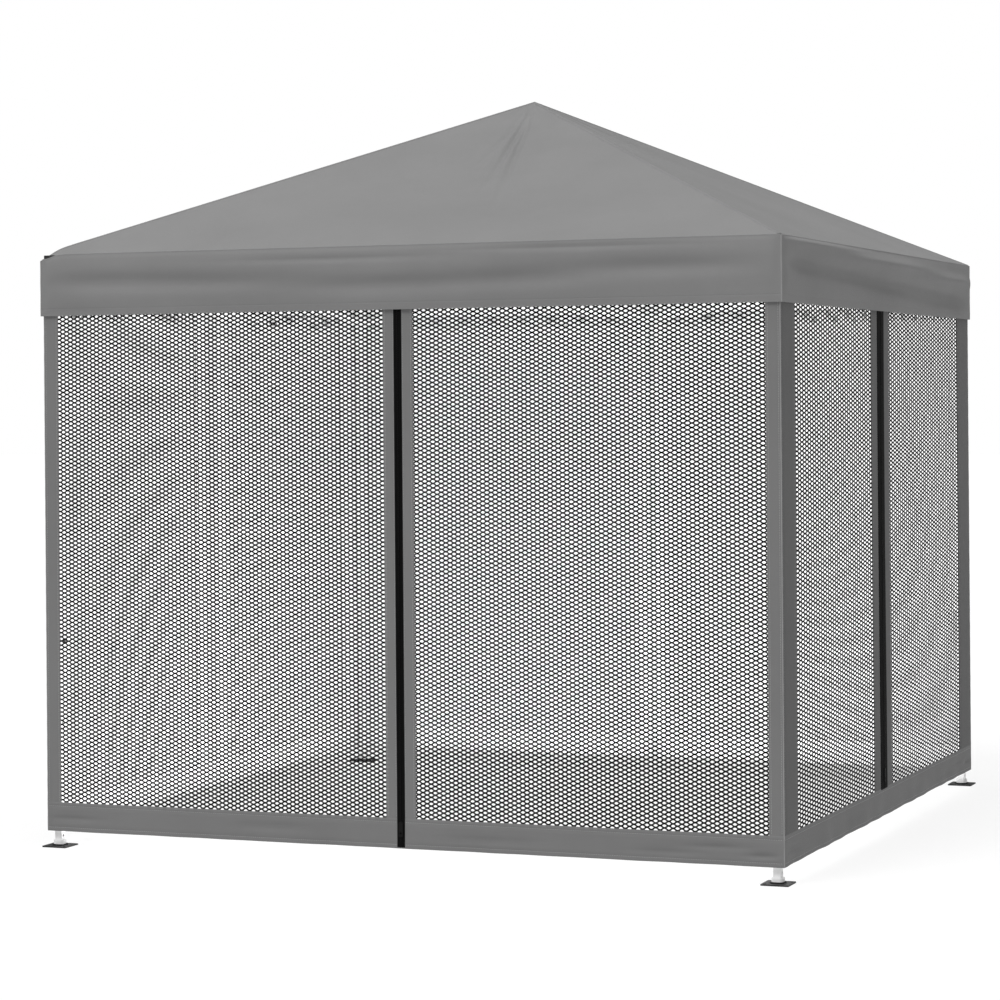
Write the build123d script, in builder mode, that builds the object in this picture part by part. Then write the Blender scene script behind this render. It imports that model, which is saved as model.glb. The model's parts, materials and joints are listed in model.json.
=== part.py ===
"""Pop-up screen house: folding truss frame, canopy cover and four netting walls.

Millimetres, +Z up. The origin is the point on the ground under the peak, the front
wall faces -Y and the right wall faces +X. Every truss bar has the same pivot length
and a pivot at its middle, so the whole frame folds exactly about its hinges.
"""
from build123d import *
from math import atan2, degrees, hypot
import os

os.makedirs("parts", exist_ok=True)

# ---------------------------------------------------------------- driving sizes
LEG = 1190.0  # leg centre from the middle of the tent, in X and in Y
PIVOT_TOP = 1842.0  # height of every upper truss pivot
TRUSS_DROP = 120.0  # upper pivot down to lower pivot, frame open
EAVE = 1888.0  # height of the roof's edge
PEAK = 2430.0  # height of the roof's point
COVER_HALF = 1225.0  # middle to the outer face of the valance
WALL_HALF = 1218.0  # middle to the outer face of a wall
VALANCE_BOTTOM = 1692.0
HEM = 52.0  # lower edge of the walls above the ground

# truss bars: rectangular tube with a pivot at each end and one in the middle
BAR_DEPTH = 22.0
BAR_THICK = 11.0
BAR_WALL = 0.8
BAR_PLANE = 6.5  # each bar's middle plane, to one side of the truss's middle plane
EAR = 32.0  # node centre to truss pivot
LONG_EAR = 64.0  # the same on the left and right sides, which have no middle bracket
PIN_R = 4.0
RUNNING_FIT = 0.05
HEAD_R = 8.0
HEAD_THICK = 2.2
HEAD_FACE = 12.4  # underside of a rivet head from the truss's middle plane

# brackets, hubs and sliders
FORK_INNER = 13.0
FORK_THICK = 3.0
FORK_R = 9.0
SPACER_R = 7.0
SPACER_END = 0.6
NODE_HALF = 18.0
NODE_TALL = 20.0
SLEEVE_HALF = 20.0
SLIDER_BORE = 33.0
SLIDER_TALL = 22.0
CORNER_PLATE = 54.0
CORNER_PLATE_OUT = 1219.0
CORNER_TOP = 1886.0

# legs and feet
OUTER_TUBE = 32.0
OUTER_WALL = 1.0
OUTER_BOTTOM = 636.0
OUTER_TOP = PIVOT_TOP + 18.0
INNER_TUBE = 25.0
INNER_WALL = 1.0
INNER_TOP = 780.0
INNER_BOTTOM = 8.0
HOUSING = 42.0
HOUSING_TALL = 36.0
BUTTON_R = 6.0
BUTTON_IN = 17.0  # inner end of the button from the leg's middle
BUTTON_OUT = 26.0
HOLE_R = 4.0
HOLE_LOW = 34.0
HOLE_PITCH = 90.0
FOOT = 85.0
FOOT_THICK = 4.0
STAKE_R = 5.0
STAKE_OFFSET = 31.0

# peak
POLE_R = 9.5
POLE_TOP = 2408.0
CAP_R = 22.0
CAP_TALL = 12.0

# soft parts
CLOTH = 1.6
WALL_THICK = 1.0
WALL_TOP = 1866.0
ROOF_FLAT = 60.0  # width of the small flat at the roof's point
WALL_GAP = 0.5  # between a side wall's ends and the front and back walls
PULL_WIDE = 14.0
PULL_THICK = 5.0
PULL_TALL = 46.0
PULL_HOLE_R = 3.5
PULL_GAP = 0.5  # from the wall's face to the pull

PIVOT_LOW = PIVOT_TOP - TRUSS_DROP
SPAN = LEG - 2 * EAR
BAR_LENGTH = hypot(SPAN, TRUSS_DROP)
X_AXIS, Y_AXIS, Z_AXIS = Vector(1, 0, 0), Vector(0, 1, 0), Vector(0, 0, 1)


def save(builder, name):
    """Label the part and write its STEP file."""
    builder.part.label = name
    export_step(builder.part, f"parts/{name}.step")


def lateral_axis(direction):
    """The axis that truss pins run along, for a truss that runs along direction."""
    return Y_AXIS if abs(direction.X) > 0.5 else X_AXIS


def square_tube(centre, outside, wall, bottom, top):
    """Add an upright square tube."""
    with BuildSketch(Plane.XY.offset(bottom)) as profile:
        with Locations(centre):
            RectangleRounded(outside, outside, 3 * wall)
            inside = outside - 2 * wall
            RectangleRounded(inside, inside, 2 * wall, mode=Mode.SUBTRACT)
    extrude(profile.sketch, amount=top - bottom)


def block(centre, size, bottom, top, radius=3.0):
    """Add an upright square block with rounded corners."""
    with BuildSketch(Plane.XY.offset(bottom)) as profile:
        with Locations(centre):
            RectangleRounded(size, size, radius)
    extrude(profile.sketch, amount=top - bottom)


def fork(node, direction, reach, face, bar_side):
    """Add two fork plates, their pin and the spacer that fills the empty side."""
    plane = Plane(origin=node, x_dir=direction, z_dir=lateral_axis(direction))
    for start in (-FORK_INNER - FORK_THICK, FORK_INNER):
        with BuildSketch(plane.offset(start)) as profile:
            with Locations(((face - 2 + reach) / 2, 0)):
                Rectangle(reach - face + 2, 2 * FORK_R)
            with Locations((reach, 0)):
                Circle(FORK_R)
        extrude(profile.sketch, amount=FORK_THICK)
    with BuildSketch(plane.offset(-FORK_INNER - FORK_THICK)) as profile:
        with Locations((reach, 0)):
            Circle(PIN_R)
    extrude(profile.sketch, amount=2 * (FORK_INNER + FORK_THICK))
    spacer_start = -SPACER_END if bar_side < 0 else -FORK_INNER
    with BuildSketch(plane.offset(spacer_start)) as profile:
        with Locations((reach, 0)):
            Circle(SPACER_R)
    extrude(profile.sketch, amount=FORK_INNER + SPACER_END)


def rivet(at, axis, side):
    """Add a headed pin through this bar and through the bar on the other side."""
    far_face = HEAD_FACE + HEAD_THICK
    start = at + axis * (side * (BAR_PLANE + BAR_THICK / 2))
    with BuildSketch(Plane(origin=start, z_dir=axis * -side)) as profile:
        Circle(PIN_R)
    extrude(profile.sketch, amount=BAR_PLANE + BAR_THICK / 2 + far_face)
    head = at - axis * (side * HEAD_FACE)
    with BuildSketch(Plane(origin=head, z_dir=axis * -side)) as profile:
        Circle(HEAD_R)
    extrude(profile.sketch, amount=HEAD_THICK)


def truss_bar(name, upper, lower, side, centre_pin, end_pin=None):
    """One bar between two pivots. The pins that it carries point to the other side."""
    carried = [end_pin] if end_pin else []
    if centre_pin:
        carried.append((upper + lower) / 2)
    direction = (lower - upper).normalized()
    axis = lateral_axis(direction)
    middle = (upper + lower) / 2
    plane = Plane(origin=middle + axis * (side * BAR_PLANE), x_dir=direction, z_dir=axis)
    with BuildPart() as bar:
        with BuildSketch(plane.offset(-BAR_THICK / 2)):
            SlotCenterToCenter(BAR_LENGTH, BAR_DEPTH)
        extrude(amount=BAR_THICK)
        with BuildSketch(plane.offset(-BAR_THICK / 2 + BAR_WALL)):
            Rectangle(BAR_LENGTH + 2 * BAR_DEPTH, BAR_DEPTH - 2 * BAR_WALL)
        extrude(amount=BAR_THICK - 2 * BAR_WALL, mode=Mode.SUBTRACT)
        with BuildSketch(plane.offset(-BAR_THICK / 2)):
            with GridLocations(BAR_LENGTH / 2, 0, 3, 1):
                Circle(PIN_R + RUNNING_FIT)
        extrude(amount=BAR_THICK, mode=Mode.SUBTRACT)
        for pin in carried:
            with BuildSketch(Plane(origin=pin + axis * (side * BAR_PLANE), z_dir=axis)):
                Circle(PIN_R + RUNNING_FIT)
            extrude(amount=BAR_THICK / 2, both=True)
            rivet(pin, axis, side)
    save(bar, name)


# ---------------------------------------------------------------- trusses
# side of each bar in its truss: bar a hangs from the outer top pivot, or from the peak
# hub in the inner truss, and bar b rises to the inner top pivot
for face, y_sign in (("front", -1), ("back", 1)):
    truss_bar(
        f"inner_bar_{face}_a",
        Vector(0, y_sign * EAR, PIVOT_TOP),
        Vector(0, y_sign * (LEG - EAR), PIVOT_LOW),
        side=-1,
        centre_pin=True,
    )
    truss_bar(
        f"inner_bar_{face}_b",
        Vector(0, y_sign * (LEG - EAR), PIVOT_TOP),
        Vector(0, y_sign * EAR, PIVOT_LOW),
        side=1,
        centre_pin=False,
    )
    for hand, x_sign in (("left", -1), ("right", 1)):
        truss_bar(
            f"{face}_bar_{hand}_a",
            Vector(x_sign * (LEG - EAR), y_sign * LEG, PIVOT_TOP),
            Vector(x_sign * EAR, y_sign * LEG, PIVOT_LOW),
            side=-1,
            centre_pin=True,
        )
        truss_bar(
            f"{face}_bar_{hand}_b",
            Vector(x_sign * EAR, y_sign * LEG, PIVOT_TOP),
            Vector(x_sign * (LEG - EAR), y_sign * LEG, PIVOT_LOW),
            side=1,
            centre_pin=False,
        )
        # the two halves of a side truss meet on rivets, so they change sides there
        outer_top = Vector(x_sign * LEG, y_sign * SPAN, PIVOT_TOP)
        outer_low = Vector(x_sign * LEG, y_sign * SPAN, PIVOT_LOW)
        mid_top = Vector(x_sign * LEG, 0, PIVOT_TOP)
        mid_low = Vector(x_sign * LEG, 0, PIVOT_LOW)
        carries_rivet = y_sign < 0
        truss_bar(
            f"{hand}_bar_{face}_a",
            outer_top,
            mid_low,
            side=-y_sign,
            centre_pin=True,
            end_pin=mid_low if carries_rivet else None,
        )
        truss_bar(
            f"{hand}_bar_{face}_b",
            mid_top,
            outer_low,
            side=y_sign,
            centre_pin=False,
            end_pin=mid_top if carries_rivet else None,
        )

# ---------------------------------------------------------------- hubs and middle brackets
for level, height, bar_side in (("upper", PIVOT_TOP, -1), ("lower", PIVOT_LOW, 1)):
    with BuildPart() as peak_hub:
        block((0, 0), 2 * NODE_HALF, height - NODE_TALL, height + NODE_TALL)
        for y_sign in (-1, 1):
            fork(Vector(0, 0, height), Y_AXIS * y_sign, EAR, NODE_HALF, bar_side)
        if level == "upper":
            with BuildSketch(Plane.XY.offset(height + NODE_TALL)):
                Circle(POLE_R + 4.5)
                Circle(POLE_R + 0.2, mode=Mode.SUBTRACT)
            extrude(amount=2 * NODE_TALL)
    save(peak_hub, f"peak_hub_{level}")

for face, y_sign in (("front", -1), ("back", 1)):
    for level, height, bar_side in (("top", PIVOT_TOP, 1), ("bottom", PIVOT_LOW, -1)):
        with BuildPart() as mid_bracket:
            node = Vector(0, y_sign * LEG, height)
            block((0, y_sign * LEG), 2 * NODE_HALF, height - NODE_TALL, height + NODE_TALL)
            for direction in (X_AXIS, X_AXIS * -1, Y_AXIS * -y_sign):
                fork(node, direction, EAR, NODE_HALF, bar_side)
        save(mid_bracket, f"mid_bracket_{level}_{face}")

with BuildPart() as peak_pole:
    with BuildSketch(Plane.XY.offset(PIVOT_TOP + NODE_TALL)):
        Circle(POLE_R)
        Circle(POLE_R - 1.2, mode=Mode.SUBTRACT)
    extrude(amount=POLE_TOP - PIVOT_TOP - NODE_TALL)
    with BuildSketch(Plane.XY.offset(POLE_TOP)):
        Circle(CAP_R)
    extrude(amount=CAP_TALL)
    fillet(peak_pole.edges().group_by(Axis.Z)[-1], radius=CAP_TALL / 2)
    fillet(peak_pole.edges().filter_by(GeomType.CIRCLE).group_by(Axis.Z)[1][-1:], radius=2)
save(peak_pole, "peak_pole")

# ---------------------------------------------------------------- corners
for face, y_sign in (("front", -1), ("back", 1)):
    for hand, x_sign in (("left", -1), ("right", 1)):
        corner = f"{face}_{hand}"
        leg = (x_sign * LEG, y_sign * LEG)
        inward_x, inward_y = X_AXIS * -x_sign, Y_AXIS * -y_sign
        side_a, side_b = -y_sign, y_sign

        with BuildPart() as outer_leg:
            square_tube(leg, OUTER_TUBE, OUTER_WALL, OUTER_BOTTOM, OUTER_TOP)
            # lock housing around the foot of the tube
            with BuildSketch(Plane.XY.offset(OUTER_BOTTOM)):
                with Locations(leg):
                    RectangleRounded(HOUSING, HOUSING, 5)
                    Rectangle(OUTER_TUBE - 2, OUTER_TUBE - 2, mode=Mode.SUBTRACT)
            extrude(amount=HOUSING_TALL)
            button_axis = Vector(leg[0], leg[1], OUTER_BOTTOM + HOUSING_TALL / 2)
            with BuildSketch(Plane(origin=button_axis, z_dir=inward_x)):
                Circle(BUTTON_R + 0.3)
            extrude(amount=HOUSING, mode=Mode.SUBTRACT)
        save(outer_leg, f"outer_leg_{corner}")

        with BuildPart() as leg_button:
            with BuildSketch(Plane(origin=button_axis + inward_x * BUTTON_IN, z_dir=inward_x)):
                Circle(BUTTON_R)
            extrude(amount=BUTTON_OUT - BUTTON_IN)
            chamfer(leg_button.edges(), length=0.8)
        save(leg_button, f"leg_button_{corner}")

        with BuildPart() as corner_bracket:
            block(leg, 2 * SLEEVE_HALF, PIVOT_TOP - 24, CORNER_TOP)
            plate_middle = CORNER_PLATE_OUT - CORNER_PLATE / 2
            plate_at = (x_sign * plate_middle, y_sign * plate_middle)
            block(plate_at, CORNER_PLATE, CORNER_TOP - 10, CORNER_TOP, radius=8)
            with BuildSketch(Plane.XY.offset(PIVOT_TOP - 24)):
                with Locations(leg):
                    Rectangle(OUTER_TUBE + 0.4, OUTER_TUBE + 0.4)
            extrude(amount=OUTER_TOP + 0.2 - PIVOT_TOP + 24, mode=Mode.SUBTRACT)
            node = Vector(leg[0], leg[1], PIVOT_TOP)
            fork(node, inward_x, EAR, SLEEVE_HALF, -1)
            fork(node, inward_y, LONG_EAR, SLEEVE_HALF, side_a)
        save(corner_bracket, f"corner_bracket_{corner}")

        with BuildPart() as slider:
            block(leg, 2 * SLEEVE_HALF, PIVOT_LOW - SLIDER_TALL, PIVOT_LOW + SLIDER_TALL)
            with BuildSketch(Plane.XY.offset(PIVOT_LOW - SLIDER_TALL)):
                with Locations(leg):
                    Rectangle(SLIDER_BORE, SLIDER_BORE)
            extrude(amount=2 * SLIDER_TALL, mode=Mode.SUBTRACT)
            node = Vector(leg[0], leg[1], PIVOT_LOW)
            fork(node, inward_x, EAR, SLEEVE_HALF, 1)
            fork(node, inward_y, LONG_EAR, SLEEVE_HALF, side_b)
        save(slider, f"slider_{corner}")

        with BuildPart() as inner_leg:
            square_tube(leg, INNER_TUBE, INNER_WALL, INNER_BOTTOM, INNER_TOP)
            # flange that stands on the foot
            with BuildSketch(Plane.XY.offset(INNER_BOTTOM)):
                with Locations(leg):
                    RectangleRounded(36, 36, 12)
                    Rectangle(INNER_TUBE - 1, INNER_TUBE - 1, mode=Mode.SUBTRACT)
            extrude(amount=12)
            # row of lock holes through both side faces
            for step in range(7):
                height = HOLE_LOW + step * HOLE_PITCH
                with BuildSketch(Plane(origin=(leg[0], leg[1], height), z_dir=X_AXIS)):
                    Circle(HOLE_R)
                extrude(amount=INNER_TUBE, both=True, mode=Mode.SUBTRACT)
        save(inner_leg, f"inner_leg_{corner}")

        with BuildPart() as foot:
            block(leg, FOOT, 0, FOOT_THICK, radius=4)
            block(leg, 44, FOOT_THICK, INNER_BOTTOM - 0.1, radius=14)
            # the two stake holes sit beside the tent's own corner
            with BuildSketch(Plane.XY):
                for along_x in (1, -1):
                    hole_x = leg[0] - along_x * x_sign * STAKE_OFFSET
                    hole_y = leg[1] + along_x * y_sign * STAKE_OFFSET
                    with Locations((hole_x, hole_y)):
                        Circle(STAKE_R)
            extrude(amount=FOOT_THICK, mode=Mode.SUBTRACT)
        save(foot, f"foot_{corner}")

# ---------------------------------------------------------------- canopy cover
with BuildPart() as canopy_cover:
    for inset, mode in ((0.0, Mode.ADD), (CLOTH, Mode.SUBTRACT)):
        width = 2 * (COVER_HALF - inset)
        # the roof slopes from the eave to the small flat at the peak
        with BuildSketch(Plane.XY.offset(EAVE)):
            Rectangle(width, width)
        with BuildSketch(Plane.XY.offset(PEAK - inset)):
            Rectangle(ROOF_FLAT - 2 * inset, ROOF_FLAT - 2 * inset)
        loft(mode=mode)
        with BuildSketch(Plane.XY.offset(VALANCE_BOTTOM)):
            Rectangle(width, width)
        extrude(amount=EAVE - VALANCE_BOTTOM, mode=mode)
save(canopy_cover, "canopy_cover")

# ---------------------------------------------------------------- netting walls
# the front and back walls run the full width and the side walls stand between them
WALLS = {  # outward direction, then where its zipper pull rests: along the wall and up
    "front": (Y_AXIS * -1, 10.0, 110.0),
    "back": (Y_AXIS, 0.0, 110.0),
    "left": (X_AXIS * -1, 60.0, 185.0),
    "right": (X_AXIS, -60.0, 185.0),
}
for face, (outward, pull_along, pull_up) in WALLS.items():
    along = Z_AXIS.cross(outward)
    end_gap = 0.0 if outward.Y else WALL_THICK + WALL_GAP
    width = 2 * (WALL_HALF - end_gap)
    wall_plane = Plane(origin=outward * WALL_HALF, x_dir=along, z_dir=outward)

    with BuildPart() as mesh_wall:
        with BuildSketch(wall_plane.offset(-WALL_THICK)):
            with Locations((0, (HEM + WALL_TOP) / 2)):
                Rectangle(width, WALL_TOP - HEM)
        extrude(amount=WALL_THICK)
    save(mesh_wall, f"mesh_wall_{face}")

    with BuildPart() as zipper_pull:
        with BuildSketch(wall_plane.offset(PULL_GAP)):
            with Locations((pull_along, pull_up)):
                RectangleRounded(PULL_WIDE, PULL_TALL, 5)
                with Locations((0, -PULL_TALL / 4)):
                    Circle(PULL_HOLE_R, mode=Mode.SUBTRACT)
        extrude(amount=PULL_THICK)
    save(zipper_pull, f"zipper_pull_{face}")
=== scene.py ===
"""Looks of the screen house: canopy, netting walls, zips, frame finishes, light and camera.

Metres, +Z up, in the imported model's own frame. The CAD walls and canopy are replaced by
cloth pieces that lie where they lay, and the zip pulls by copies that can follow the fold.
Every other CAD node is shown as it is.
"""
import json
import math

import bpy
import numpy as np
from mathutils import Matrix, Vector


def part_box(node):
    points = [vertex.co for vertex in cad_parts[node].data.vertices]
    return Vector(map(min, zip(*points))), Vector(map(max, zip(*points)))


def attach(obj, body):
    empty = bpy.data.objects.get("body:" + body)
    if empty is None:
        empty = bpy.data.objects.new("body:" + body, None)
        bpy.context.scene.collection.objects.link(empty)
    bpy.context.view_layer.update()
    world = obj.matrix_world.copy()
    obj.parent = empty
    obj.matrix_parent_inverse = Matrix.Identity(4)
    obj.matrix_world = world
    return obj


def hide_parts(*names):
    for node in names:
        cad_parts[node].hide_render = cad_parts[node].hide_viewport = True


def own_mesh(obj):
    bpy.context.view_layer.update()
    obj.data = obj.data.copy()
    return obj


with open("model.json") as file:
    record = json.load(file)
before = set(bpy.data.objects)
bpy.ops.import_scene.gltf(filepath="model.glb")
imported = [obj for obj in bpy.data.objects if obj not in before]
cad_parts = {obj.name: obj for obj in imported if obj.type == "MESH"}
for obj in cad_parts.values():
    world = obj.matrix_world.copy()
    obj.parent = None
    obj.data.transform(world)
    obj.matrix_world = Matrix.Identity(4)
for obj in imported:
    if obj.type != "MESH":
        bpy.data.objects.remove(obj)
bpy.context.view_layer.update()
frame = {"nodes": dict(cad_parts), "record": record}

# ---------------------------------------------------------------- sizes from the frame
COVER_LO, COVER_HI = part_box("canopy_cover")
WALL_LO, WALL_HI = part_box("mesh_wall_front")
COVER = COVER_HI[0]  # middle to the valance's outer face
PEAK = COVER_HI[2]
VALANCE_BOTTOM = COVER_LO[2]
WALL = WALL_HI[0]  # middle to a wall's outer face
HEM = WALL_LO[2]
WALL_TOP = WALL_HI[2]
EAVE = 1.888  # height of the roof's edge
SLOPE = (PEAK - EAVE) / COVER
VALANCE = EAVE - VALANCE_BOTTOM

# wall layout
BAND = 0.092  # height of the bottom band
TOP_BAND = 0.13  # height of the band behind the valance
ZIP_TOP = VALANCE_BOTTOM + 0.035  # zips end under the valance
NET_TUCK = 0.004  # netting held inside each strip

SIDES = {  # outward direction, body that carries the wall, height where the zip ends
    "front": (Vector((0, -1, 0)), "mid_bracket_top_front", HEM + 0.004),
    "right": (Vector((1, 0, 0)), "wall_right", HEM + BAND - 0.004),
    "back": (Vector((0, 1, 0)), "mid_bracket_top_back", HEM + 0.004),
    "left": (Vector((-1, 0, 0)), "wall_left", HEM + BAND - 0.004),
}
# each wall from its left as seen from outside: the widths of the strips at its ends, of the
# strips beside the zip and of the zip's tape, the netting's hole pitch and slanting strand,
# and the middle of the zip
DOOR_WALL = {"ends": (0.050, 0.046), "zip_strip": 0.037, "tape": 0.026, "pitch": 0.027, "strand": 0.0050}
SIDE_WALL = {"ends": (0.150, 0.170), "zip_strip": 0.074, "tape": 0.084, "pitch": 0.054, "strand": 0.0064}
LAYOUT = {
    "front": {**DOOR_WALL, "zip": 0.010},
    "back": {**DOOR_WALL, "zip": 0.0},
    "right": {**SIDE_WALL, "zip": -0.060},
    "left": {**SIDE_WALL, "ends": SIDE_WALL["ends"][::-1], "zip": 0.060},
}
UP = Vector((0, 0, 1))


# ---------------------------------------------------------------- materials
def material(name):
    """A new node material: (material, nodes, links, principled shader)."""
    made = bpy.data.materials.new(name)
    made.use_nodes = True
    nodes, links = made.node_tree.nodes, made.node_tree.links
    return made, nodes, links, nodes["Principled BSDF"]


def grey(value):
    return (value, value, value, 1.0)


def noise(nodes, links, scale, detail):
    """A noise texture in object coordinates, in features per metre."""
    coords = nodes.new("ShaderNodeTexCoord")
    texture = nodes.new("ShaderNodeTexNoise")
    texture.inputs["Scale"].default_value = scale
    texture.inputs["Detail"].default_value = detail
    texture.inputs["Roughness"].default_value = 0.55
    links.new(coords.outputs["Object"], texture.inputs["Vector"])
    return texture.outputs["Fac"]


def ramp(nodes, links, source, low, high):
    """A ramp from one grey to another over the middle of a noise's range."""
    made = nodes.new("ShaderNodeValToRGB")
    for stop, (position, value) in zip(made.color_ramp.elements, ((0.3, low), (0.7, high))):
        stop.position = position
        stop.color = grey(value)
    links.new(source, made.inputs["Fac"])
    return made.outputs["Color"]


def bump(nodes, links, height, strength, distance, below=None):
    """A bump node over a height, on top of another one if below is given."""
    made = nodes.new("ShaderNodeBump")
    made.inputs["Strength"].default_value = strength
    made.inputs["Distance"].default_value = distance
    links.new(height, made.inputs["Height"])
    if below:
        links.new(below, made.inputs["Normal"])
    return made.outputs["Normal"]


def math_node(nodes, links, operation, first, second):
    """A math node over a socket and a socket or number."""
    made = nodes.new("ShaderNodeMath")
    made.operation = operation
    links.new(first, made.inputs[0])
    if isinstance(second, (int, float)):
        made.inputs[1].default_value = second
    else:
        links.new(second, made.inputs[1])
    return made.outputs[0]


def weave(nodes, links, pitch):
    """Height of a plain weave, from the piece's UV map, which is in metres."""
    uv = nodes.new("ShaderNodeUVMap")
    uv.uv_map = "cloth"
    split = nodes.new("ShaderNodeSeparateXYZ")
    links.new(uv.outputs["UV"], split.inputs[0])
    waves = []
    for socket in ("X", "Y"):
        turns = math_node(nodes, links, "MULTIPLY", split.outputs[socket], 2 * math.pi / pitch)
        waves.append(math_node(nodes, links, "SINE", turns, 0.0))
    return math_node(nodes, links, "MULTIPLY", *waves)


MOTTLE = 0.05  # how far a cloth's tone wanders, as a share
CRUMPLE_DEPTH = 0.004
WEAVE_DEPTH = 0.00012


def cloth_material(name, base, roughness, sheen, pitch=0.0022, shine=0.3):
    """Woven polyester: soft tone variation, a plain weave and a little surface crumple."""
    made, nodes, links, shader = material(name)
    tone = noise(nodes, links, 2.6, detail=6)
    links.new(ramp(nodes, links, tone, base * (1 - MOTTLE), base * (1 + MOTTLE)), shader.inputs["Base Color"])
    grain = noise(nodes, links, 420, detail=3)
    links.new(ramp(nodes, links, grain, roughness - 0.08, roughness + 0.08), shader.inputs["Roughness"])
    crumple = bump(nodes, links, noise(nodes, links, 16, detail=5), 0.32, CRUMPLE_DEPTH)
    threads = bump(nodes, links, weave(nodes, links, pitch), 0.6, WEAVE_DEPTH, crumple)
    links.new(threads, shader.inputs["Normal"])
    shader.inputs["Sheen Weight"].default_value = sheen
    shader.inputs["Sheen Roughness"].default_value = 0.45
    shader.inputs["Specular IOR Level"].default_value = shine
    return made


def coated_material(name, low, high, roughness, scale, bump_distance, coat=0.0, shine=0.5):
    """Powder coat, moulded plastic or painted steel: fine grain and slight tone variation."""
    made, nodes, links, shader = material(name)
    tone = noise(nodes, links, 9, detail=5)
    links.new(ramp(nodes, links, tone, low, high), shader.inputs["Base Color"])
    grain = noise(nodes, links, scale, detail=2)
    links.new(ramp(nodes, links, tone, roughness - 0.05, roughness + 0.07), shader.inputs["Roughness"])
    links.new(bump(nodes, links, grain, 0.5, bump_distance), shader.inputs["Normal"])
    shader.inputs["Coat Weight"].default_value = coat
    shader.inputs["Coat Roughness"].default_value = 0.2
    shader.inputs["Specular IOR Level"].default_value = shine
    return made


FABRIC = cloth_material("canopy_polyester", base=0.176, roughness=0.78, sheen=0.03)
LINING = cloth_material("silver_lining", base=0.80, roughness=0.55, sheen=0.05)
BAND_CLOTH = cloth_material("wall_binding", base=0.150, roughness=0.8, sheen=0.02)
# painted shade: the side walls' upright strips use the same binding cloth as the bands, made darker to stand in for
# the shade on those walls
SHADED_SIDE_STRIP_CLOTH = cloth_material("side_wall_binding_painted_shade", base=0.100, roughness=0.8, sheen=0.02)
# lighter than the canopy cloth, with more sheen: a painted highlight along the corner beads
HIGHLIGHT_EDGE_CLOTH = cloth_material("edge_binding_painted_highlight", base=0.23, roughness=0.7, sheen=0.1)
NET_OUT = coated_material("netting_black", 0.003, 0.006, 0.8, 900, 0.00008, shine=0.1)
NET_IN = coated_material("netting_pale_face", 0.74, 0.82, 0.7, 900, 0.00008)
ZIP_TAPE_CLOTH = cloth_material("zip_tape", base=0.0035, roughness=0.8, sheen=0.0, pitch=0.0016, shine=0.05)
ZIP_TAPE_BACK = cloth_material("zip_tape_back", base=0.6, roughness=0.7, sheen=0.05, pitch=0.0016)
ZIP_TEETH = coated_material("zip_coil_nylon", 0.003, 0.006, 0.7, 1200, 0.00005, shine=0.12)
THREAD = cloth_material("sewing_thread", base=0.3, roughness=0.6, sheen=0.2, pitch=0.0008)
POWDER = coated_material("white_powder_coat", 0.76, 0.84, 0.38, 1600, 0.00006, coat=0.25)
BLACK_PLASTIC = coated_material("black_moulded_nylon", 0.005, 0.012, 0.5, 1400, 0.00006)
FOOT_PAINT = coated_material("black_painted_steel", 0.003, 0.007, 0.6, 700, 0.00008)
BUTTON_RUBBER = coated_material("button_grey_nylon", 0.03, 0.05, 0.5, 1000, 0.00006)
PALE_NYLON = coated_material("white_moulded_nylon", 0.70, 0.80, 0.45, 1400, 0.00006)

SLOT_MATERIALS = {
    "bracket": BLACK_PLASTIC,
    "frame_tube": POWDER,
    "foot_plate": FOOT_PAINT,
    "lock_button": BUTTON_RUBBER,
    "zipper_pull": ZIP_TEETH,
}
PALE_PARTS = ("slider", "mid_bracket", "peak_hub")  # mouldings inside the house
slot_of = {row["node"]: row["material_slot"] for row in frame["record"]["subparts"]}
for node_name, node in frame["nodes"].items():
    finish = SLOT_MATERIALS.get(slot_of[node_name])
    if node_name.startswith(PALE_PARTS):
        finish = PALE_NYLON
    if finish:
        node.data.materials.clear()
        node.data.materials.append(finish)


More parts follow.
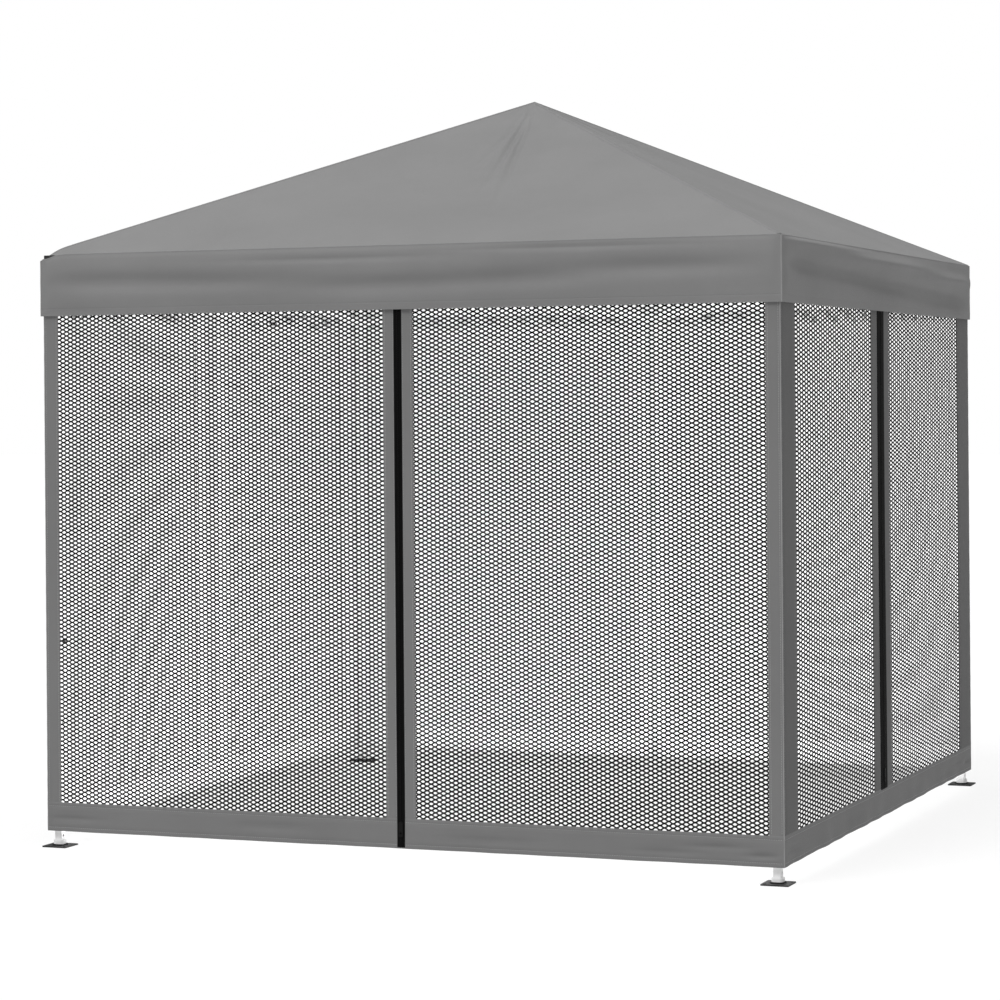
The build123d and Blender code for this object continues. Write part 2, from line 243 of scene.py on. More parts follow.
# ---------------------------------------------------------------- cloth meshes
def cloth_sheet(name, point, us, vs, thickness, faces, uv_scale=(1.0, 1.0)):
    """A closed thin sheet over a grid. point(u, v) takes arrays and gives the outer surface.

    The surface faces the way that u cross v points. faces is the outer and the inner
    material, and the rim takes the outer one.
    """
    u, v = np.meshgrid(us, vs, indexing="ij")
    step = 1e-4
    outer = point(u, v)
    along_u = point(u + step, v) - point(u - step, v)
    along_v = point(u, v + step) - point(u, v - step)
    normal = np.cross(along_u, along_v)
    normal /= np.linalg.norm(normal, axis=-1, keepdims=True)
    inner = outer - normal * thickness
    rows, cols = len(us), len(vs)
    count = rows * cols
    vertices = np.concatenate([outer.reshape(-1, 3), inner.reshape(-1, 3)])
    index = np.arange(count).reshape(rows, cols)
    quads = np.stack([index[:-1, :-1], index[1:, :-1], index[1:, 1:], index[:-1, 1:]], axis=-1)
    quads = quads.reshape(-1, 4)
    rim = np.concatenate([index[:-1, 0], index[-1, :-1], index[:0:-1, -1], index[0, :0:-1]])
    rim_next = np.roll(rim, -1)
    rim_quads = np.stack([rim, rim + count, rim_next + count, rim_next], axis=-1)
    all_quads = np.concatenate([quads, quads[:, ::-1] + count, rim_quads])
    mesh = bpy.data.meshes.new(name)
    mesh.from_pydata(vertices.tolist(), [], all_quads.tolist())
    for face_material in faces:
        mesh.materials.append(face_material)
    on_inside = np.zeros(len(all_quads), dtype=np.int32)
    on_inside[len(quads):2 * len(quads)] = 1
    mesh.polygons.foreach_set("material_index", on_inside)
    flat_uv = np.stack([u * uv_scale[0], v * uv_scale[1]], axis=-1).reshape(-1, 2)
    flat_uv = np.concatenate([flat_uv, flat_uv])
    layer = mesh.uv_layers.new(name="cloth")
    layer.data.foreach_set("uv", flat_uv[all_quads.ravel()].astype(np.float32).ravel())
    # shade with the surface's own normals, so that neighbouring sheets meet without a line
    flat_normal = normal.reshape(-1, 3)
    rim_side = np.cross(vertices[rim_next] - vertices[rim], flat_normal[rim])
    rim_side /= np.maximum(np.linalg.norm(rim_side, axis=1, keepdims=True), 1e-9)
    loops = np.concatenate([
        flat_normal[quads.ravel()],
        -flat_normal[quads[:, ::-1].ravel()],
        np.repeat(rim_side, 4, axis=0),
    ])
    mesh.polygons.foreach_set("use_smooth", np.ones(len(all_quads), dtype=bool))
    mesh.normals_split_custom_set(loops.tolist())
    mesh.validate()
    made = bpy.data.objects.new(name, mesh)
    bpy.context.collection.objects.link(made)
    return made


def merged(name, vertices, quads, finish, smooth_angle=None):
    """An object from plain vertices and faces in one material, smooth below an angle in degrees."""
    mesh = bpy.data.meshes.new(name)
    mesh.from_pydata([tuple(v) for v in vertices], [], [tuple(int(i) for i in q) for q in quads])
    mesh.materials.append(finish)
    if smooth_angle:
        mesh.shade_smooth()
        mesh.set_sharp_from_angle(angle=math.radians(smooth_angle))
    mesh.update()
    made = bpy.data.objects.new(name, mesh)
    bpy.context.collection.objects.link(made)
    return made


def edge_profile(width, edge=0.0012, stitch=0.007, groove=0.0006, middle=4):
    """Positions across a bound strip and the outer face's height there: rounded, sewn edges."""
    half = [(0.0, -edge), (0.0006, -0.3 * edge), (0.0018, 0.0), (stitch - 0.002, 0.0),
            (stitch, -groove), (stitch + 0.002, 0.0)]
    across = [p for p, _ in half]
    across += list(np.linspace(stitch + 0.002, width - stitch - 0.002, middle + 2)[1:-1])
    across += [width - p for p, _ in reversed(half)]
    heights = [h for _, h in half] + [0.0] * middle + [h for _, h in reversed(half)]
    return np.array(across), np.array(heights)


def bell(value, centre, width):
    """A smooth hump of height 1."""
    return np.exp(-(((value - centre) / width) ** 2))


# ---------------------------------------------------------------- roof
# soft folds that run down from the peak: face, direction as a share of the half width,
# depth, width as a share, and the share of the slope where each starts and fades
ROOF_FOLDS = [
    ("front", 0.02, -0.0100, 0.330, 0.10, 0.95),
    ("front", 0.48, 0.0060, 0.160, 0.10, 0.80),
    ("right", -0.30, -0.0080, 0.060, 0.03, 0.50),
    ("right", 0.35, -0.0070, 0.070, 0.04, 0.60),
    ("back", -0.25, -0.0090, 0.050, 0.03, 0.50),
    ("back", 0.15, -0.0080, 0.060, 0.03, 0.55),
    ("left", 0.05, -0.0090, 0.050, 0.03, 0.45),
    ("left", 0.40, -0.0070, 0.080, 0.05, 0.65),
]
# thin creases from the peak: face, direction, depth and half width in metres, and the share
# of the slope where each ends
ROOF_CREASES = [
    ("front", -0.01, -0.0032, 0.011, 0.45),
    ("front", 0.07, 0.0030, 0.012, 0.55),
    ("front", 0.135, -0.0070, 0.011, 0.66),
    ("front", 0.18, 0.0036, 0.011, 0.66),
    ("front", 0.225, -0.0062, 0.012, 0.80),
]
CREASE_START = 0.022  # share of the slope where the creases start, clear of the pole's cap
ROOF_SAG = 0.014  # how far each face sags between the peak and the eave
CORNER_DIP = 0.019  # at the front left corner the cover sits low on its bracket
DIP_REACH = 0.044  # how far from that corner the dip fades
SLACK = 0.0016  # small waves of loose cloth


def corner_dip(x, y):
    """How far the cover sits below the eave line beside the front left corner."""
    distance = np.hypot(x + COVER, y + COVER)
    return CORNER_DIP * np.exp(-((distance / DIP_REACH) ** 2))


def roof_height(face, across, down):
    """Height of the roof at a share across a face (-1 to 1) and down its slope (0 to 1)."""
    height = PEAK - SLOPE * COVER * down
    inside = np.clip(1 - across**2, 0, 1)
    height = height - ROOF_SAG * np.sin(math.pi * np.clip(down, 0, 1)) * inside
    for owner, place, depth, width, start, end in ROOF_FOLDS:
        if owner == face:
            fade = np.clip((down - start) / 0.10, 0, 1) * np.clip((end - down) / (end - 0.18), 0, 1)
            fade = fade * fade * (3 - 2 * fade)
            height = height + depth * bell(across, place, width * (1 + 1.2 * down)) * fade
    for owner, place, depth, width, end in ROOF_CREASES:
        if owner == face:
            fade = np.clip((down - CREASE_START) / 0.06, 0, 1) * np.clip((end - down) / (0.5 * end), 0, 1)
            height = height + depth * bell((across - place) * down * COVER, 0.0, width) * fade
    # faint slack above the eave, none at the eave itself
    slack = SLACK * np.sin(across * 9.0 + 1.3) * np.sin(across * 4.1 + 0.4)
    return height + slack * inside * np.sin(math.pi * np.clip((down - 0.5) / 0.5, 0, 1))


def side_axes(side):
    """(outward, along) of a side: along cross up points outwards."""
    outward = SIDES[side][0]
    return np.array(outward), np.array(UP.cross(outward))


def roof_point(side):
    """Maps (share across a face, share down its slope) to a place on the roof."""
    outward, along = side_axes(side)

    def point(across, down):
        reach = COVER * down
        flat = outward * reach[..., None] + along * (reach * across)[..., None]
        height = roof_height(side, across, down) - corner_dip(flat[..., 0], flat[..., 1])
        flat[..., 2] = height
        return flat

    return point


def gathered(piece):
    """Gives the piece a mesh of its own."""
    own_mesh(piece)


GORES = 10  # on each face, so that the roof is cut in narrow gores
GORE_STEPS = 16
ROOF_THICK = 0.0009
SLOPE_LENGTH = COVER * math.hypot(1, SLOPE)
TIP = 0.0006  # share of the slope left open at the very point
RISE_ROWS = np.concatenate([  # from the eave up, closer together near the eave and the peak
    np.linspace(0, 0.05, 9),
    np.linspace(0.062, 0.9, 48),
    np.linspace(0.915, 1 - TIP, 14),
])
for side in SIDES:
    point = roof_point(side)
    for k in range(GORES):
        start, end = -1 + 2 * k / GORES, -1 + 2 * (k + 1) / GORES
        # v runs up the slope, so that the outer face looks up
        gore = cloth_sheet(
            f"roof_{side}_gore_{k + 1:02d}",
            lambda across, rise: point(across, 1.0 - rise),
            np.linspace(start, end, GORE_STEPS + 1),
            RISE_ROWS,
            ROOF_THICK,
            (FABRIC, LINING),
            uv_scale=(COVER, SLOPE_LENGTH),
        )
        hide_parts("canopy_cover")
        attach(gore, "peak")
        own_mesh(gore)
        width = COVER * (end - start)


# ---------------------------------------------------------------- hip seams
SEAM_HALF = 0.011  # half the width of a seam's binding
SEAM_RISE = 0.0012  # how far it stands off the roof
SEAM_SECTION = [  # shift across the hip and height over the roof
    (-SEAM_HALF, -SEAM_RISE), (-SEAM_HALF * 0.85, SEAM_RISE), (-SEAM_HALF * 0.4, SEAM_RISE),
    (0.0, SEAM_RISE * 1.5),
    (SEAM_HALF * 0.4, SEAM_RISE), (SEAM_HALF * 0.85, SEAM_RISE), (SEAM_HALF, -SEAM_RISE),
]


def hip_seam(name, corner_x, corner_y):
    """A bound seam over a hip, from the peak to the corner, bent over the ridge."""
    stations = np.concatenate([np.linspace(TIP, 0.9, 60), np.linspace(0.91, 0.998, 16)])
    vertices, quads = [], []
    for row, t in enumerate(stations):
        reach = COVER * t
        for shift, lift in SEAM_SECTION:
            x = corner_x * (reach + min(shift, 0.0))
            y = corner_y * (reach - max(shift, 0.0))
            down = max(abs(x), abs(y)) / COVER
            z = PEAK - SLOPE * COVER * down + lift - float(corner_dip(np.array(x), np.array(y)))
            vertices.append((x, y, z))
        if row:
            points = len(SEAM_SECTION)
            base = (row - 1) * points
            for k in range(points - 1):
                quads.append((base + k, base + k + 1, base + k + points + 1, base + k + points))
    if corner_x * corner_y > 0:
        quads = [q[::-1] for q in quads]
    return merged(name, vertices, quads, FABRIC, 60)


for face, y_sign in (("front", -1), ("back", 1)):
    for hand, x_sign in (("left", -1), ("right", 1)):
        seam = hip_seam(f"hip_seam_{face}_{hand}", x_sign, y_sign)
        seam.data.uv_layers.new(name="cloth")
        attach(seam, "peak")
        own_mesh(seam)


# ---------------------------------------------------------------- valance
# long soft folds along each side: place along it and down it, depth, and their widths
VALANCE_FOLDS = {
    "front": [
        (-1.02, 0.47, -0.0135, 0.30, 0.14), (-0.62, 0.51, -0.0100, 0.26, 0.13),
        (-0.02, 0.61, -0.0130, 0.28, 0.13), (0.40, 0.56, -0.0115, 0.24, 0.13),
        (0.84, 0.43, -0.0120, 0.32, 0.13), (-1.14, 0.98, -0.0080, 0.14, 0.12),
        (0.58, 0.10, -0.0045, 0.30, 0.045), (-0.20, 0.19, -0.0040, 0.30, 0.05),
    ],
    "right": [
        (-1.10, 0.38, -0.0170, 0.34, 0.14), (-0.50, 0.46, -0.0170, 0.40, 0.14),
        (0.15, 0.55, -0.0170, 0.42, 0.15), (0.80, 0.65, -0.0160, 0.40, 0.16),
        (1.18, 0.68, -0.0100, 0.20, 0.16), (-1.00, 0.07, 0.0130, 0.50, 0.09),
        (0.00, 0.20, 0.0170, 0.55, 0.10), (0.95, 0.33, 0.0170, 0.45, 0.11),
    ],
    "back": [
        (-1.00, 0.36, -0.0110, 0.34, 0.13), (-0.20, 0.50, -0.0120, 0.50, 0.12),
        (0.80, 0.42, -0.0110, 0.40, 0.12),
    ],
    "left": [
        (-0.90, 0.44, -0.0110, 0.42, 0.12), (0.10, 0.40, -0.0120, 0.45, 0.13),
        (1.05, 0.34, -0.0110, 0.30, 0.12),
    ],
}
VALANCE_THICK = 0.0011
BILLOW = 0.0105  # how far the valance stands out at half its height
HEM_FOLD = 0.022  # height of the sewn hem's stitching
HEM_GROOVE = 0.0004  # depth of the line that it pulls in
CORNER_STAY = 0.75  # share of the folds that the corner brackets hold out, and how far along
CORNER_STAY_REACH = 0.13
FOLD_DEPTH = 0.0055  # a fold goes in no further than this


def valance_point(side):
    """Maps (along the side, height) to a place on the valance."""
    outward, along = side_axes(side)

    def point(across, height):
        down = (EAVE - height) / VALANCE
        stand = np.zeros_like(across)
        for place, level, depth, width, reach in VALANCE_FOLDS[side]:
            stand = stand + depth * bell(across, place, width) * bell(down, level, reach)
        stand = stand * (1 - CORNER_STAY * bell(COVER - np.abs(across), 0.0, CORNER_STAY_REACH))
        # slack billow between the corners, and a soft turn in at the eave
        between = np.clip(1 - (across / COVER) ** 2, 0, 1)
        stand = stand + BILLOW * (0.85 + 0.15 * between) * np.sin(math.pi * np.clip(down, 0, 1) ** 0.8)
        stand = stand + 0.0014 * between * np.sin(across * 7.3 + 0.8) * np.clip(down, 0, 1)
        # nothing stands out at the eave and the corners, where neighbours meet
        stand = stand * (1 - bell(down, 0.0, 0.035)) * (1 - bell(COVER - np.abs(across), 0.0, 0.022))
        # the walls' tops stand right behind, and hold the folds out
        stand = np.where(stand < 0, -FOLD_DEPTH * np.tanh(-stand / FOLD_DEPTH), stand)
        # sewn hem: a groove where its stitching pulls in
        stand = stand - HEM_GROOVE * bell(height, VALANCE_BOTTOM + HEM_FOLD, 0.0016)
        where = outward * (COVER + stand)[..., None] + along * across[..., None]
        dip = corner_dip(where[..., 0], where[..., 1]) * np.clip(1 - down, 0, 1) ** 1.5
        where[..., 2] = height - dip
        return where

    return point


for side, (_, body, _) in SIDES.items():
    across = np.linspace(-COVER, COVER, 161)
    heights = np.concatenate([
        [VALANCE_BOTTOM, VALANCE_BOTTOM + 0.002],
        VALANCE_BOTTOM + HEM_FOLD + np.array([-0.004, -0.0015, 0.0, 0.0015, 0.004]),
        np.linspace(VALANCE_BOTTOM + HEM_FOLD + 0.012, EAVE - 0.010, 22),
        [EAVE - 0.006, EAVE - 0.003, EAVE],
    ])
    valance = cloth_sheet(f"valance_{side}", valance_point(side), across, heights, VALANCE_THICK, (FABRIC, LINING))
    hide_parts("canopy_cover")
    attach(valance, body)
    gathered(valance)


# ---------------------------------------------------------------- walls
SIDE_GAP = 0.0012  # the side walls stop this far short of the front and back ones
STRIP_THICK = 0.0022
TAPE_THICK = 0.0040
TAPE_STAND = 0.0016  # how far the zip's tape stands off the wall
TUCK = 0.004  # of a zip strip's edge, under the tape
BAND_STAND = 0.0007  # how far the bottom band stands off the strips


def wall_wave(side, across, height):
    """How far a wall's cloth stands out from flat: slow waves, and drape beside the corners."""
    phase = {"front": 0.0, "right": 1.7, "back": 3.1, "left": 4.4}[side]
    wave = 0.0011 * np.sin(across * 3.9 + phase) * np.sin(height * 2.6 + phase)
    wave = wave + 0.0008 * np.sin(across * 11.0 + 2 * phase) * np.clip(1.4 - height, 0, 1)
    return wave * np.clip((WALL - np.abs(across)) / 0.04, 0, 1)


# place along the wall, height over the hem, depth, and the widths along and up
HEM_PLEATS = [
    (1.150, 0.034, -0.0070, 0.045, 0.007), (1.010, 0.052, -0.0045, 0.090, 0.009),
    (0.860, 0.030, -0.0035, 0.110, 0.010), (-1.120, 0.040, -0.0040, 0.080, 0.009),
    (-0.420, 0.046, -0.0030, 0.120, 0.010), (0.300, 0.036, -0.0030, 0.130, 0.010),
]


def hem_wave(across, height):
    """Small gathers and a few pleats in the bottom band."""
    low = np.clip(1 - (height - HEM) / BAND, 0, 1)
    gathers = np.sin(across * 23.0) * np.sin(across * 6.1 + 0.7) + 0.5 * np.sin(across * 41.0 + 1.1)
    wave = 0.0020 * gathers * low
    for place, rise, depth, width, reach in HEM_PLEATS:
        wave = wave + depth * bell(across, place, width) * bell(height, HEM + rise, reach)
    return wave * np.clip((WALL - np.abs(across)) / 0.03, 0, 1)


def wall_point(side, lift, hem=True, profile=None):
    """Maps (along the wall, height) to a place on the wall, lift proud of its CAD face."""
    outward, along = side_axes(side)

    def point(across, height):
        stand = lift + wall_wave(side, across, height)
        if hem:
            stand = stand + hem_wave(across, height)
        if profile:
            stand = stand + profile(across, height)
        where = outward * (WALL + stand)[..., None] + along * across[..., None]
        where[..., 2] = height
        return where

    return point


def upright_strip(name, side, start, width, bottom, top, lift, thickness, faces, middle=4, **edges):
    """A bound strip that runs up a wall, start and width along it."""
    positions, heights = edge_profile(width, middle=middle, **edges)
    point = wall_point(side, lift, profile=lambda across, _: np.interp(across - start, positions, heights))
    rows = np.linspace(bottom, top, max(2, int((top - bottom) / 0.03)) + 1)
    return cloth_sheet(name, point, start + positions, rows, thickness, faces)


def half_wall(side):
    """Middle of a wall to its end."""
    return WALL if side in ("front", "back") else WALL - SIDE_GAP


def level_band(name, side, bottom, height, lift, thickness, faces):
    """A bound band that runs along a wall from end to end."""
    positions, heights = edge_profile(height, middle=5, stitch=0.012)
    point = wall_point(side, lift, profile=lambda _, level: np.interp(level - bottom, positions, heights))
    columns = np.linspace(-half_wall(side), half_wall(side), 181)
    return cloth_sheet(name, point, columns, bottom + positions, thickness, faces)


# netting: staggered six-sided holes, wider than they are tall
HOLE_PITCH_Z = 0.0133  # height from one hole to the next
HALF_BAR = 0.081  # half the level strand between two holes, as a share of their pitch
BAR_WIDTH = 0.0060  # thickness of that strand
NET_DEPTH = 0.0008  # the netting's outer face, in from the wall's
NET_GAP = 0.0004  # between the netting's outer and inner face


def netting(name, side, start, end, bottom, top, pitch, strand):
    """Knitted netting as strands: level bars joined by slanting ones, in two faces."""
    half_bar = HALF_BAR * pitch
    columns = math.ceil((end - start) / (pitch / 2)) + 1
    rows = math.ceil((top - bottom) / HOLE_PITCH_Z) + 1
    left = (start + end - (columns - 1) * pitch / 2) / 2
    low = (bottom + top - (rows - 0.5) * HOLE_PITCH_Z) / 2
    column, row = np.meshgrid(np.arange(columns), np.arange(rows), indexing="ij")
    x = left + column * pitch / 2
    z = low + row * HOLE_PITCH_Z + (column % 2) * HOLE_PITCH_Z / 2
    slope = math.atan2(HOLE_PITCH_Z / 2, pitch / 2 - 2 * half_bar)
    tip = (strand - BAR_WIDTH / 2 * math.cos(slope)) / math.sin(slope)
    # six corners: left end's top, tip and bottom, then the right end's
    shift_x = np.array([-half_bar, -half_bar - tip, -half_bar, half_bar, half_bar + tip, half_bar])
    shift_z = np.array([1, 0, -1, 1, 0, -1]) * BAR_WIDTH / 2
    across = (x[..., None] + shift_x).reshape(-1)
    height = (z[..., None] + shift_z).reshape(-1)
    base = (column * rows + row) * 6
    top_l, tip_l, low_l, top_r, tip_r, low_r = (base + k for k in range(6))
    faces = [np.stack([top_l, low_l, low_r, top_r], -1).reshape(-1, 4)]
    triangles = [np.stack(t, -1).reshape(-1, 3) for t in ((top_l, tip_l, low_l), (top_r, low_r, tip_r))]
    for parity in (0, 1):
        for upward in (True, False):
            # the next column's bar up or down, given the stagger
            step = parity if upward else parity - 1
            picked = (column % 2 == parity) & (column + 1 < columns) & (row + step >= 0) & (row + step < rows)
            here = base[picked]
            there = ((column + 1) * rows + row + step)[picked] * 6
            if upward:  # the strand rises from this bar's right end to the next bar's left end
                faces.append(np.stack([here + 3, here + 4, there + 2, there + 1], -1))
            else:
                faces.append(np.stack([here + 4, here + 5, there + 1, there], -1))
    quads = np.concatenate(faces)
    triangles = np.concatenate(triangles)
    vertices, loops, sizes, slots = [], [], [], []
    count = 0
    for face, depth in enumerate((-NET_DEPTH, -NET_DEPTH - NET_GAP)):
        where = wall_point(side, depth, hem=False)(across, height)
        flip = slice(None, None, -1) if face else slice(None)
        vertices.append(where)
        loops += [(quads[:, flip] + count).ravel(), (triangles[:, flip] + count).ravel()]
        sizes += [np.full(len(quads), 4), np.full(len(triangles), 3)]
        slots.append(np.full(len(quads) + len(triangles), face))
        count += len(across)
    mesh = bpy.data.meshes.new(name)
    vertices, loops, sizes = np.concatenate(vertices), np.concatenate(loops), np.concatenate(sizes)
    mesh.vertices.add(len(vertices))
    mesh.vertices.foreach_set("co", vertices.astype(np.float32).ravel())
    mesh.loops.add(len(loops))
    mesh.loops.foreach_set("vertex_index", loops.astype(np.int32))
    mesh.polygons.add(len(sizes))
    mesh.polygons.foreach_set("loop_start", np.concatenate([[0], np.cumsum(sizes)[:-1]]).astype(np.int32))
    mesh.polygons.foreach_set("material_index", np.concatenate(slots).astype(np.int32))
    mesh.materials.append(NET_OUT)
    mesh.materials.append(NET_IN)
    mesh.update(calc_edges=True)
    mesh.validate()
    made = bpy.data.objects.new(name, mesh)
    bpy.context.collection.objects.link(made)
    return made


def zip_coil(name, side, middle, bottom, top):
    """The closed coil down the middle of the tape: two rows of teeth that lock in turn."""
    outward, along = side_axes(side)
    pitch, offset, wide, tall, stand = 0.0030, 0.0021 * 0.55, 0.0021, 0.0019, 0.0019
    vertices, quads = [], []
    count = int((top - bottom) / pitch)
    for k in range(count):
        level = bottom + (k + 0.5) * pitch
        centre = middle + (offset if k % 2 else -offset)
        depth = float(wall_wave(side, np.array(centre), np.array(level))) + TAPE_STAND
        base = len(vertices)
        for dz in (-tall / 2, tall / 2):
            for dx, dy in ((-wide, 0.0), (-wide * 0.6, stand), (wide * 0.6, stand), (wide, 0.0)):
                spot = outward * (WALL + depth + dy) + along * (centre + dx)
                vertices.append((spot[0], spot[1], level + dz * (0.8 if dy else 1.0)))
        quads += [(base + a, base + a + 1, base + a + 5, base + a + 4) for a in range(3)]
        quads += [(base + 3, base + 2, base + 1, base), (base + 4, base + 5, base + 6, base + 7)]
        quads += [(base + 4, base + 7, base + 3, base)]
    return merged(name, vertices, quads, ZIP_TEETH)


def stitches(name, side, lines, lift):
    """Rows of short threads. Each line is (along start, height start, along end, height end)."""
    outward, along = side_axes(side)
    pitch, length, half, stand = 0.0072, 0.0050, 0.0005, 0.0006
    vertices, quads = [], []
    for a0, z0, a1, z1 in lines:
        total = math.hypot(a1 - a0, z1 - z0)
        da, dz = (a1 - a0) / total, (z1 - z0) / total
        for k in range(int(total / pitch)):
            base = len(vertices)
            for t, rise in ((0.0, 0.0), (0.25, 1.0), (0.75, 1.0), (1.0, 0.0)):
                travel = k * pitch + 0.001 + t * length
                for shift in (-half, half):
                    a, z = a0 + da * travel - dz * shift, z0 + dz * travel + da * shift
                    here = np.array(a), np.array(z)
                    depth = float(wall_wave(side, *here) + hem_wave(*here))
                    spot = outward * (WALL + lift + depth - 0.0004 + rise * stand) + along * a
                    vertices.append((spot[0], spot[1], z))
            quads += [(base + 2 * i + 1, base + 2 * i, base + 2 * i + 2, base + 2 * i + 3) for i in range(3)]
    return merged(name, vertices, quads, THREAD)


def wall_piece(piece, side):
    """Everything on a wall rides with it, each with a mesh of its own."""
    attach(piece, SIDES[side][1])
    gathered(piece)


FRAME_FACES = (BAND_CLOTH, LINING)
STRIP_TOP = WALL_TOP - 0.004
BANDS = {  # lower edge, height, how far it stands off the wall, thickness
    "bottom_band": (HEM, BAND, BAND_STAND, 0.0024),
    "top_band": (WALL_TOP - TOP_BAND, TOP_BAND - 0.002, -0.0024, 0.0014),
}
for side, (_, _, zip_end) in SIDES.items():
    window_bottom, window_top = HEM + BAND, WALL_TOP - TOP_BAND
    edge = half_wall(side)
    plan = LAYOUT[side]
    end_a, end_b = plan["ends"]
    zip_a, zip_b = plan["zip"] - plan["tape"] / 2, plan["zip"] + plan["tape"] / 2
    strips = {
        "corner_strip_a": (-edge, end_a),
        "zip_strip_a": (zip_a - plan["zip_strip"], plan["zip_strip"] + TUCK),
        "zip_strip_b": (zip_b - TUCK, plan["zip_strip"] + TUCK),
        "corner_strip_b": (edge - end_b, end_b),
    }
    # the side walls' strips take the darker cloth, which is painted shade
    strip_faces = FRAME_FACES if side in ("front", "back") else (SHADED_SIDE_STRIP_CLOTH, LINING)
    for label, (start, width) in strips.items():
        bottom = window_bottom - 0.010
        strip = upright_strip(f"{side}_{label}", side, start, width, bottom, STRIP_TOP, 0.0, STRIP_THICK, strip_faces)
        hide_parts(f"mesh_wall_{side}")
        wall_piece(strip, side)
    for label, (bottom, height, lift, thickness) in BANDS.items():
        band = level_band(f"{side}_{label}", side, bottom, height, lift, thickness, FRAME_FACES)
        wall_piece(band, side)

    windows = {
        "a": (-edge + end_a, zip_a - plan["zip_strip"]),
        "b": (zip_b + plan["zip_strip"], edge - end_b),
    }
    for label, (start, end) in windows.items():
        net = netting(f"{side}_netting_{label}", side, start - NET_TUCK, end + NET_TUCK,
                      window_bottom - NET_TUCK, window_top + NET_TUCK, plan["pitch"], plan["strand"])
        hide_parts(f"mesh_wall_{side}")
        wall_piece(net, side)

    tape = upright_strip(f"{side}_zip_tape", side, zip_a, plan["tape"], zip_end, ZIP_TOP, TAPE_STAND, TAPE_THICK,
                         (ZIP_TAPE_CLOTH, ZIP_TAPE_BACK), middle=3, edge=0.0006, stitch=0.004, groove=0.0003)
    wall_piece(tape, side)
    coil = zip_coil(f"{side}_zip_coil", side, plan["zip"], zip_end + 0.003, ZIP_TOP - 0.005)
    wall_piece(coil, side)

    inset = 0.007  # stitching in from a strip's edge
    sewn = []
    for start, width in strips.values():
        for place in (start + inset, start + width - inset):
            sewn.append((place, window_bottom + 0.004, place, WALL_TOP - 0.01))
    thread = stitches(f"{side}_strip_stitching", side, sewn, 0.0)
    wall_piece(thread, side)
    sewn = [(-edge + 0.004, HEM + rise, edge - 0.004, HEM + rise) for rise in (0.012, BAND - 0.012)]
    thread = stitches(f"{side}_band_stitching", side, sewn, BAND_STAND)
    wall_piece(thread, side)


def zip_pull(side):
    """The CAD's pull, as a copy of its own that rides on the pull's body."""
    node = frame["nodes"][f"zipper_pull_{side}"]
    pull = bpy.data.objects.new(f"{side}_zip_pull", node.data.copy())
    bpy.context.collection.objects.link(pull)
    pull.matrix_world = node.matrix_world
    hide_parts(f"zipper_pull_{side}")
    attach(pull, f"zipper_pull_{side}")
    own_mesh(pull)


for side in SIDES:
    zip_pull(side)


def corner_bead(name, x, y, bottom, top, radius):
    """The rounded sewn edge where two cloth pieces meet at a corner, a real bead in a lighter cloth that paints a
    highlight along it.
    """
    sides, rows = 10, max(2, int((top - bottom) / 0.02))
    vertices, quads = [], []
    for row in range(rows + 1):
        level = bottom + (top - bottom) * row / rows
        swell = radius * (1 + 0.12 * math.sin(level * 210.0))
        for k in range(sides):
            turn = 2 * math.pi * k / sides
            vertices.append((x + swell * math.cos(turn), y + swell * math.sin(turn), level))
        if row:
            base = (row - 1) * sides
            for k in range(sides):
                after = (k + 1) % sides
                quads.append((base + k, base + after, base + sides + after, base + sides + k))
    return merged(name, vertices, quads, HIGHLIGHT_EDGE_CLOTH, 60)


BEAD_RADIUS = 0.0018
for face, y_sign in (("front", -1), ("back", 1)):
    for hand, x_sign in (("left", -1), ("right", 1)):
        top = EAVE - (CORNER_DIP + 0.002 if (face, hand) == ("front", "left") else 0.001)
        reach = COVER - 0.0006
        bead = corner_bead(f"valance_corner_{face}_{hand}", x_sign * reach, y_sign * reach,
                           VALANCE_BOTTOM, top, BEAD_RADIUS)
        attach(bead, f"leg_{face}_{hand}")
        reach = WALL - 0.0008
        bead = corner_bead(f"wall_corner_{face}_{hand}", x_sign * reach, y_sign * reach,
                           HEM, VALANCE_BOTTOM + 0.03, BEAD_RADIUS)
        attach(bead, f"leg_{face}_{hand}")


# ---------------------------------------------------------------- floor, light and camera
WORLD_LIGHT = 0.40
FLOOR_SIZE = 60.0  # middle to the edge, past every view
FLOOR_LEVEL = -0.0005
FLOOR_GLOW = 0.80  # brings the floor up to the white behind it
SUNS = {  # where each light comes from, its strength and its softness in degrees
    "key_light": ((-0.25, -0.55, 0.80), 1.85, 24),
    "top_light": ((0.06, -0.05, 1.0), 1.75, 50),
}
INSIDE_LIGHT = 60.0  # watts, over a square as wide as the floor inside
INSIDE_WIDTH = 2.2
INSIDE_LEVEL = 0.003
CAMERA_PLACE = (3.668, -9.658, 1.420)
CAMERA_YAW = -0.3752  # radians
CAMERA_ROLL = 0.008
CAMERA_LENS = 108.8  # millimetres, on a full frame
CAMERA_RISE = -0.102  # shift of the picture, as a share of its width


def backdrop():
    """A pale floor, wide enough to reach past every view."""
    mesh = bpy.data.meshes.new("studio_floor")
    corners = [(-1, -1), (1, -1), (1, 1), (-1, 1)]
    mesh.from_pydata([(x * FLOOR_SIZE, y * FLOOR_SIZE, FLOOR_LEVEL) for x, y in corners], [], [(0, 1, 2, 3)])
    made, nodes, links, shader = material("studio_floor_white")
    tone = noise(nodes, links, 0.7, detail=2)
    links.new(ramp(nodes, links, tone, 0.15, 0.16), shader.inputs["Base Color"])
    shader.inputs["Roughness"].default_value = 0.9
    shader.inputs["Specular IOR Level"].default_value = 0.1
    shader.inputs["Emission Color"].default_value = (1, 1, 1, 1)
    shader.inputs["Emission Strength"].default_value = FLOOR_GLOW
    mesh.materials.append(made)
    floor = bpy.data.objects.new("studio_floor", mesh)
    bpy.context.collection.objects.link(floor)


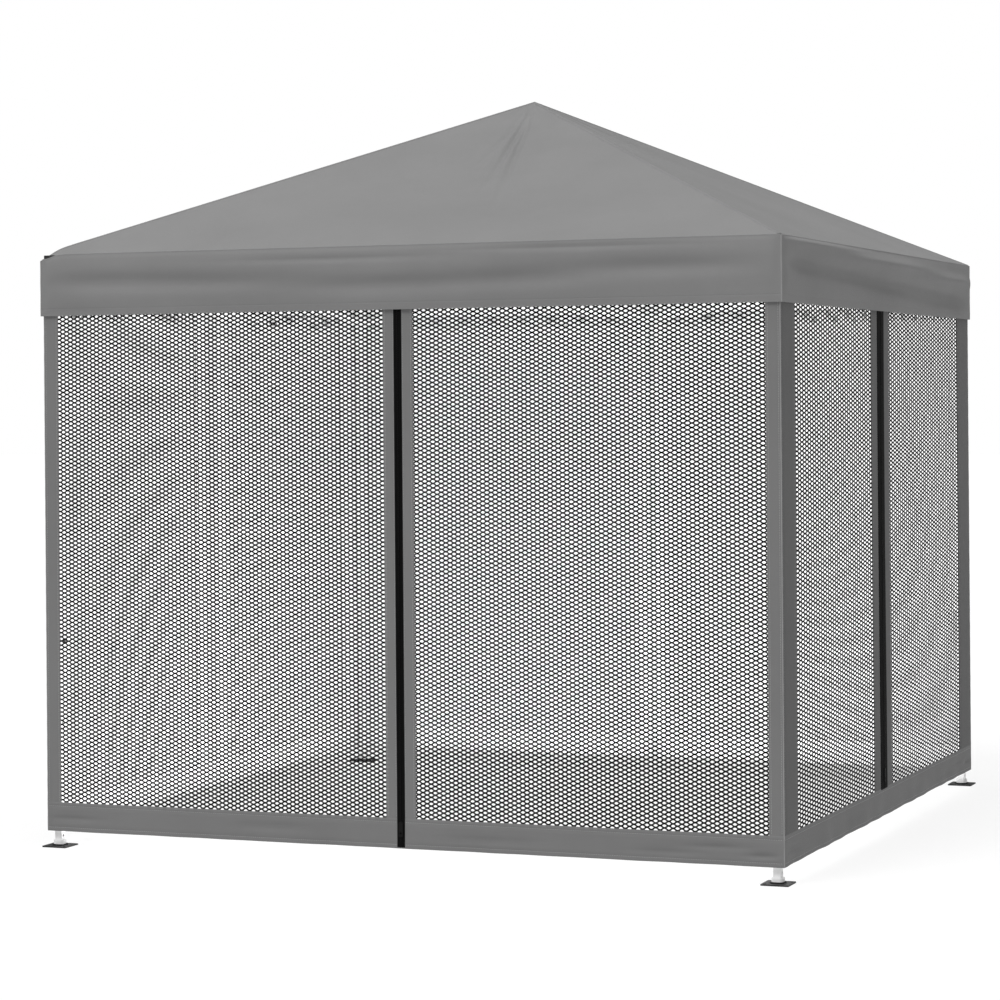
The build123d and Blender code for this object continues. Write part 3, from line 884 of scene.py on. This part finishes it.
def studio_world():
    """White to the camera, softer for what it lights."""
    world = bpy.data.worlds.new("studio")
    world.use_nodes = True
    nodes, links = world.node_tree.nodes, world.node_tree.links
    lit = nodes["Background"]
    lit.inputs["Color"].default_value = (1, 1, 1, 1)
    lit.inputs["Strength"].default_value = WORLD_LIGHT
    seen = nodes.new("ShaderNodeBackground")
    seen.inputs["Color"].default_value = (1, 1, 1, 1)
    seen.inputs["Strength"].default_value = 1.0
    path = nodes.new("ShaderNodeLightPath")
    mix = nodes.new("ShaderNodeMixShader")
    links.new(path.outputs["Is Camera Ray"], mix.inputs["Fac"])
    links.new(lit.outputs["Background"], mix.inputs[1])
    links.new(seen.outputs["Background"], mix.inputs[2])
    links.new(mix.outputs["Shader"], nodes["World Output"].inputs["Surface"])
    bpy.context.scene.world = world


backdrop()
studio_world()
for light_name, (source, strength, softness) in SUNS.items():
    sun = bpy.data.lights.new(light_name, "SUN")
    sun.energy = strength
    sun.angle = math.radians(softness)
    light = bpy.data.objects.new(light_name, sun)
    light.rotation_euler = Vector(source).to_track_quat("Z", "Y").to_euler()
    bpy.context.collection.objects.link(light)
# a soft light from the floor up keeps the far walls' pale inner faces bright
inside = bpy.data.lights.new("inside_fill", "AREA")
inside.size = INSIDE_WIDTH
inside.energy = INSIDE_LIGHT
fill = bpy.data.objects.new("inside_fill", inside)
fill.location = (0.0, 0.0, INSIDE_LEVEL)
fill.rotation_euler = (math.pi, 0.0, 0.0)
fill.visible_camera = False
bpy.context.collection.objects.link(fill)

camera_data = bpy.data.cameras.new("camera")
camera_data.lens = CAMERA_LENS
camera_data.sensor_width = 36.0
camera_data.shift_y = CAMERA_RISE
camera_data.clip_end = 200.0
camera = bpy.data.objects.new("camera", camera_data)
level = Matrix.Rotation(-CAMERA_YAW, 4, "Z") @ Matrix.Rotation(math.pi / 2, 4, "X")
camera.matrix_world = Matrix.Translation(CAMERA_PLACE) @ level @ Matrix.Rotation(-CAMERA_ROLL, 4, "Z")
bpy.context.collection.objects.link(camera)
bpy.context.scene.camera = camera
bpy.context.scene.view_settings.view_transform = "Standard"
